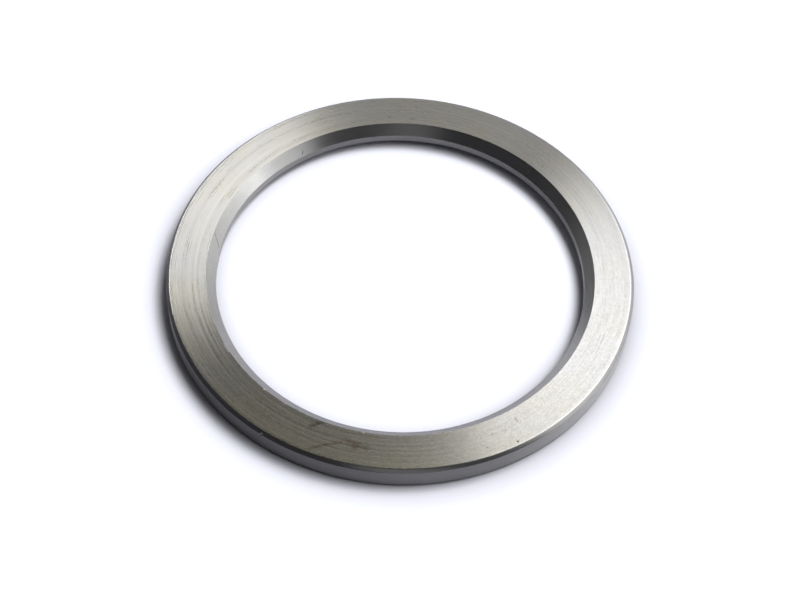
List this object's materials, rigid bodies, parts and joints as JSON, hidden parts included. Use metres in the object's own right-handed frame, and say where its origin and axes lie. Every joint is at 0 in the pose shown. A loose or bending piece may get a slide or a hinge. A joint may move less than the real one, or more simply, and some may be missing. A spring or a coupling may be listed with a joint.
{
  "type": "spacer washer",
  "caption": "Flat turned steel ring with a wide bore, chamfers at both ends of the bore and a lightly chamfered rim; it fills a set gap between two parts on one axis.",
  "frame": {"origin": "centre of the lower face, on the axis of the bore", "axes": "+Z along the axis of the bore, from the lower face to the upper face; X and Y are any two radii, because the ring is round"},
  "size_m": [0.062, 0.062, 0.0035],
  "materials": {
    "turned_steel": "satin"
  },
  "bodies": {
    "root": {"spacer_washer": "turned_steel"}
  },
  "joints": []
}
